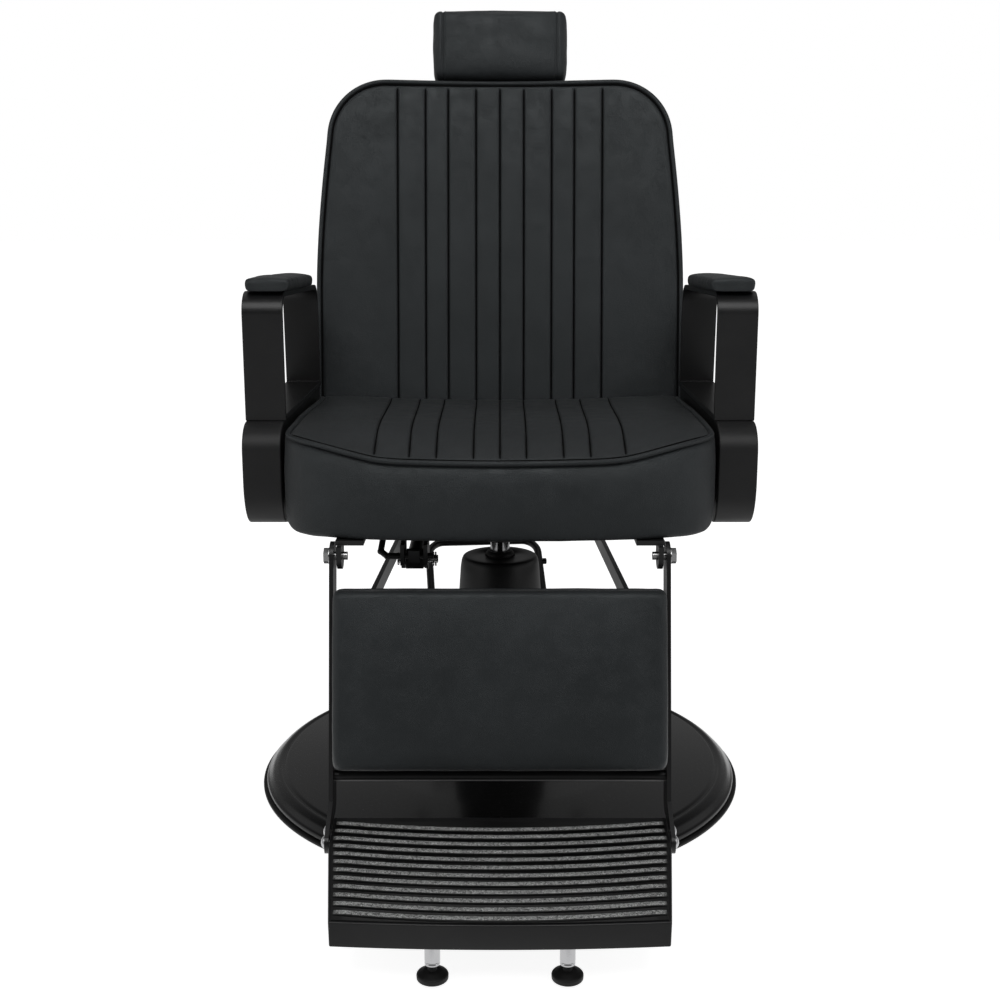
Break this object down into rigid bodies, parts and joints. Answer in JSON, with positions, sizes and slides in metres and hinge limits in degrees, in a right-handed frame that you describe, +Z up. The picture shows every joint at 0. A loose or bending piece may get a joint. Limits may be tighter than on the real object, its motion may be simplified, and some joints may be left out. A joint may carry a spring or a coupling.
{
  "type": "hydraulic barber chair",
  "caption": "Reclining barber chair with channelled cushions, sliding headrest, strap arms, ribbed foot plate and a foot-pumped lifting, turning round base.",
  "frame": {"origin": "floor level on the pump axis, at the middle of the round base", "axes": "+Z up, -Y the way the sitter faces, +X to the sitter's left"},
  "size_m": [0.6999, 0.9597, 1.1154],
  "materials": {
    "leather_black": "satin",
    "black_satin": "satin",
    "black_gloss": "gloss",
    "chrome": "polished",
    "zinc": "satin",
    "dark_steel": "satin",
    "rubber": "matte",
    "cast_iron": "matte",
    "board": "matte",
    "cover_plastic": "satin",
    "tread": "satin",
    "panel": "satin"
  },
  "bodies": {
    "base": {"edge_ring": "rubber", "centre_pad": "rubber", "base_plate": "black_gloss", "base_weight": "cast_iron", "pump_body": "cast_iron", "pump_bolts": "dark_steel", "pump_cover": "cover_plastic", "rod_seal": "rubber"},
    "pump_lever": {"lever_shaft": "dark_steel", "pump_lever": "black_satin"},
    "piston": {"piston_rod": "chrome", "thrust_ring": "dark_steel"},
    "seat": {"swivel_hub": "black_satin", "mount_plate": "black_satin", "mount_bolts": "dark_steel", "cross_tubes": "black_satin", "front_cross": "black_satin", "seat_rails": "black_satin", "leg_brackets": "black_satin", "leg_pivot_bolts": "zinc", "back_hinge_plates": "black_satin", "gas_clevis": "black_satin", "gas_pin": "zinc", "gas_cylinder": "dark_steel", "seat_board": "board", "seat_cushion": "leather_black", "arm_brackets": "black_satin", "side_panel_left": "panel", "side_panel_right": "panel", "arm_frame_left": "black_satin", "arm_frame_right": "black_satin", "arm_pad_left": "leather_black", "arm_pad_right": "leather_black"},
    "release_lever": {"release_rod": "black_satin", "release_cam": "dark_steel", "release_grip": "rubber"},
    "back": {"back_frame": "black_satin", "back_board": "board", "back_cushion": "leather_black", "back_screws": "zinc", "headrest_socket": "black_satin"},
    "headrest": {"headrest_bar": "chrome", "headrest_board": "board", "headrest_cushion": "leather_black"},
    "leg_rest": {"leg_bar_left": "black_satin", "leg_bar_right": "black_satin", "leg_brace": "black_satin", "calf_board": "board", "calf_pad": "leather_black", "calf_clips": "black_satin", "link_pins": "dark_steel", "foot_plate": "black_satin", "foot_tread": "tread", "foot_plate_bolts": "chrome", "foot_tubes": "chrome"},
    "push_links": {"link_left": "black_satin", "link_right": "black_satin"},
    "gas_rod": {"gas_rod": "chrome"},
    "foot_left": {"foot_left": "rubber"},
    "foot_right": {"foot_right": "rubber"}
  },
  "joints": [
    {"name": "pump_lift", "type": "slide", "parent": "base", "child": "piston", "axis": [0, 0, 1], "range_m": [0, 0.15]},
    {"name": "seat_swivel", "type": "hinge", "parent": "piston", "child": "seat", "pos_m": [0, 0, 0.38], "axis": [0, 0, 1], "continuous": true},
    {"name": "recline", "type": "hinge", "parent": "seat", "child": "back", "pos_m": [0, 0.19, 0.45], "axis": [-1, 0, 0], "range_deg": [0, 50]},
    {"name": "headrest_slide", "type": "slide", "parent": "back", "child": "headrest", "axis": [0, 0.1564, 0.9877], "range_m": [0, 0.07]},
    {"name": "leg_rest_swing", "type": "hinge", "parent": "seat", "child": "leg_rest", "pos_m": [0, -0.319, 0.414], "axis": [-1, 0, 0], "range_deg": [0, 50]},
    {"name": "link_pivot", "type": "hinge", "parent": "leg_rest", "child": "push_links", "pos_m": [0, -0.315, 0.292], "axis": [-1, 0, 0], "range_deg": [-50, 0]},
    {"name": "gas_rod_slide", "type": "slide", "parent": "seat", "child": "gas_rod", "axis": [0, -1, 0], "range_m": [0, 0.0545]},
    {"name": "foot_lever", "type": "hinge", "parent": "base", "child": "pump_lever", "pos_m": [-0.00298, 0.02985, 0.089], "axis": [-0.9951, -0.0993, 0], "range_deg": [0, 24], "stiffness_Nm_per_rad": 8, "springref_deg": -22.92},
    {"name": "recline_release", "type": "hinge", "parent": "seat", "child": "release_lever", "pos_m": [0, -0.267, 0.4], "axis": [1, 0, 0], "range_deg": [0, 4.5], "stiffness_Nm_per_rad": 4, "springref_deg": -14.32},
    {"name": "foot_left_screw", "type": "slide", "parent": "leg_rest", "child": "foot_left", "axis": [0, 0, -1], "range_m": [-0.005, 0.003]},
    {"name": "foot_right_screw", "type": "slide", "parent": "leg_rest", "child": "foot_right", "axis": [0, 0, -1], "range_m": [-0.005, 0.003]}
  ],
  "couplings": [
    {"joint": "leg_rest_swing", "follows": "recline", "ratio": 1},
    {"joint": "link_pivot", "follows": "recline", "ratio": -1},
    {"joint": "gas_rod_slide", "follows": "recline", "m_per_rad": 0.062}
  ]
}
